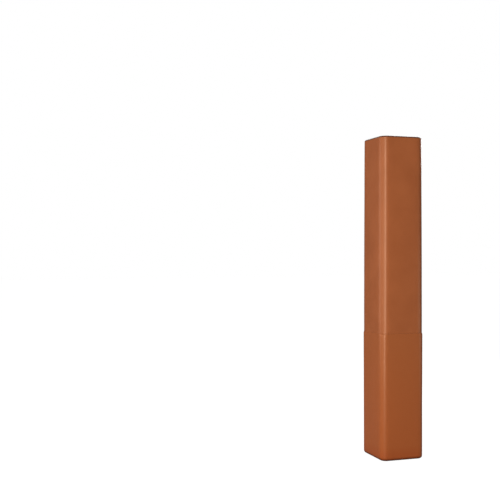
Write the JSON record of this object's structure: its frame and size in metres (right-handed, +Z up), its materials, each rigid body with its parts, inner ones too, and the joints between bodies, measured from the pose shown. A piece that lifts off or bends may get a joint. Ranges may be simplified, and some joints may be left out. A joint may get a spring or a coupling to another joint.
{
  "type": "basketball pole pad",
  "caption": "Tall square foam-filled vinyl sleeve that wraps a square post, with a folding back panel and a hook and loop closure flap.",
  "frame": {"origin": "on the floor under the middle of the pad's box", "axes": "+Z up the pad, the front towards -Y, the closure flap on the +X side and the back panel on +Y"},
  "size_m": [0.2686, 0.2686, 1.829],
  "materials": {
    "vinyl": "satin",
    "lining": "matte",
    "foam": "matte",
    "tape": "matte"
  },
  "bodies": {
    "wrap": {"front_foam_upper": "foam", "front_foam_lower": "foam", "left_foam_upper": "foam", "left_foam_lower": "foam", "right_foam_upper": "foam", "right_foam_lower": "foam", "outer_cover_upper": "vinyl", "outer_cover_lower": "vinyl", "top_end_panel": "vinyl", "bottom_end_panel": "vinyl", "inner_liner": "lining", "loop_tape": "tape"},
    "back_door": {"back_foam_upper": "foam", "back_foam_lower": "foam", "back_cover_upper": "vinyl", "back_cover_lower": "vinyl", "back_top_panel": "vinyl", "back_bottom_panel": "vinyl", "back_liner": "lining"},
    "closure_flap": {"closure_flap": "vinyl", "hook_tape": "tape"}
  },
  "joints": [
    {"name": "back_panel_hinge", "type": "hinge", "parent": "wrap", "child": "back_door", "pos_m": [-0.12317, 0.12317, 0.9145], "axis": [0, 0, 1], "range_deg": [0, 110]},
    {"name": "closure_flap_hinge", "type": "hinge", "parent": "back_door", "child": "closure_flap", "pos_m": [0.12317, 0.12317, 0.9145], "axis": [0, 0, 1], "range_deg": [0, 120]}
  ]
}
